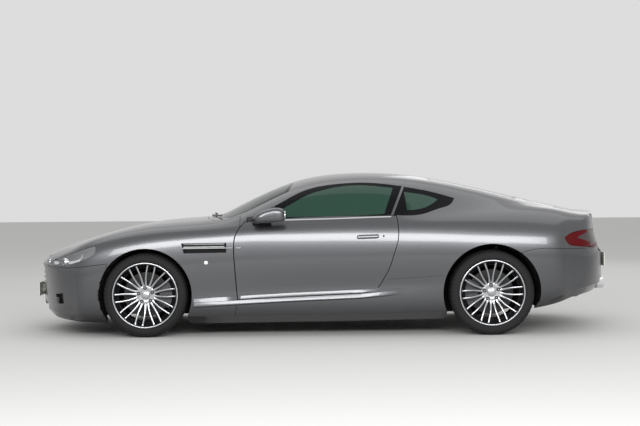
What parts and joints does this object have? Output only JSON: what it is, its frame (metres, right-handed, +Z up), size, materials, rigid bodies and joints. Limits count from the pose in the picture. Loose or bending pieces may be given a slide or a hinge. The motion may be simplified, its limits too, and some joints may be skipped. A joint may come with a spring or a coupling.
{
  "type": "coupe car",
  "caption": "Low two-door fastback coupe with long bonnet, hollow cabin, opening doors, bonnet and boot lid, steered front wheels and turning spoked wheels.",
  "frame": {"origin": "on the ground, midway along the car's length, on its centre plane", "axes": "-X towards the nose, +X towards the tail, -Y towards the car's left side, +Y towards its right side, +Z up"},
  "size_m": [4.716, 2, 1.2901],
  "materials": {
    "paint": "metallic",
    "tinted_glass": "clear, dark green tint",
    "clear_glass": "clear, green tint",
    "lamp_glass": "clear",
    "red_lens": "gloss",
    "black_plastic": "matte",
    "underbody": "matte",
    "engine_metal": "cast",
    "suspension_metal": "cast",
    "exhaust_steel": "brushed",
    "cabin_plastic": "grained",
    "seat_leather": "smooth leather",
    "grip_leather": "smooth leather",
    "plate_plastic": "gloss",
    "wheel_alloy": "painted silver",
    "tyre_rubber": "matte",
    "disc_iron": "machined"
  },
  "bodies": {
    "body": {"body_shell": "paint", "front_bumper": "paint", "rear_bumper": "paint", "front_wing_left": "paint", "front_wing_right": "paint", "windscreen": "clear_glass", "rear_window": "tinted_glass", "quarter_windows": "tinted_glass", "headlamps": "lamp_glass", "tail_lamps": "red_lens", "grille": "black_plastic", "floor_pan": "underbody", "wheelhouses": "underbody", "engine": "engine_metal", "front_suspension": "suspension_metal", "rear_axle": "suspension_metal", "exhaust": "exhaust_steel", "dashboard": "cabin_plastic", "front_seat_left": "seat_leather", "front_seat_right": "seat_leather", "rear_seats": "seat_leather", "number_plates": "plate_plastic", "wing_vents": "black_plastic", "wipers": "black_plastic"},
    "wheel_front_left": {"rim_front_left": "wheel_alloy", "tyre_front_left": "tyre_rubber", "brake_disc_front_left": "disc_iron"},
    "wheel_front_right": {"rim_front_right": "wheel_alloy", "tyre_front_right": "tyre_rubber", "brake_disc_front_right": "disc_iron"},
    "wheel_rear_left": {"rim_rear_left": "wheel_alloy", "tyre_rear_left": "tyre_rubber", "brake_disc_rear_left": "disc_iron"},
    "wheel_rear_right": {"rim_rear_right": "wheel_alloy", "tyre_rear_right": "tyre_rubber", "brake_disc_rear_right": "disc_iron"},
    "steer_knuckle_left": {"knuckle_front_left": "suspension_metal"},
    "door_left": {"door_left": "paint", "door_glass_left": "tinted_glass", "mirror_left": "paint"},
    "steer_knuckle_right": {"knuckle_front_right": "suspension_metal"},
    "door_right": {"door_right": "paint", "door_glass_right": "tinted_glass", "mirror_right": "paint"},
    "bonnet": {"bonnet": "paint"},
    "boot_lid": {"boot_lid": "paint"},
    "steering_wheel": {"steering_wheel": "grip_leather"}
  },
  "joints": [
    {"name": "steer_left", "type": "hinge", "parent": "body", "child": "steer_knuckle_left", "pos_m": [-1.39, -0.724, 0.333], "axis": [0, 0, 1], "range_deg": [-32, 32]},
    {"name": "steer_right", "type": "hinge", "parent": "body", "child": "steer_knuckle_right", "pos_m": [-1.39, 0.724, 0.333], "axis": [0, 0, 1], "range_deg": [-32, 32]},
    {"name": "spin_front_left", "type": "hinge", "parent": "steer_knuckle_left", "child": "wheel_front_left", "pos_m": [-1.39, -0.784, 0.333], "axis": [0, -1, 0], "continuous": true},
    {"name": "spin_front_right", "type": "hinge", "parent": "steer_knuckle_right", "child": "wheel_front_right", "pos_m": [-1.39, 0.784, 0.333], "axis": [0, -1, 0], "continuous": true},
    {"name": "spin_rear_left", "type": "hinge", "parent": "body", "child": "wheel_rear_left", "pos_m": [1.35, -0.781, 0.335], "axis": [0, -1, 0], "continuous": true},
    {"name": "spin_rear_right", "type": "hinge", "parent": "body", "child": "wheel_rear_right", "pos_m": [1.35, 0.781, 0.335], "axis": [0, -1, 0], "continuous": true},
    {"name": "steering_turn", "type": "hinge", "parent": "body", "child": "steering_wheel", "pos_m": [-0.352, -0.37, 0.778], "axis": [0.9361, 0, 0.3518], "range_deg": [-480, 480]},
    {"name": "door_left_hinge", "type": "hinge", "parent": "body", "child": "door_left", "pos_m": [-0.785, -0.89, 0.62], "axis": [0, -0.0995, -0.995], "range_deg": [0, 60]},
    {"name": "door_right_hinge", "type": "hinge", "parent": "body", "child": "door_right", "pos_m": [-0.785, 0.89, 0.62], "axis": [0, -0.0995, 0.995], "range_deg": [0, 60]},
    {"name": "bonnet_hinge", "type": "hinge", "parent": "body", "child": "bonnet", "pos_m": [-0.815, 0, 0.935], "axis": [0, 1, 0], "range_deg": [0, 50]},
    {"name": "boot_hinge", "type": "hinge", "parent": "body", "child": "boot_lid", "pos_m": [1.68, 0, 1.085], "axis": [0, -1, 0], "range_deg": [0, 60]}
  ],
  "couplings": [
    {"joint": "steer_right", "follows": "steer_left", "ratio": 1},
    {"joint": "steering_turn", "follows": "steer_left", "ratio": 15}
  ]
}
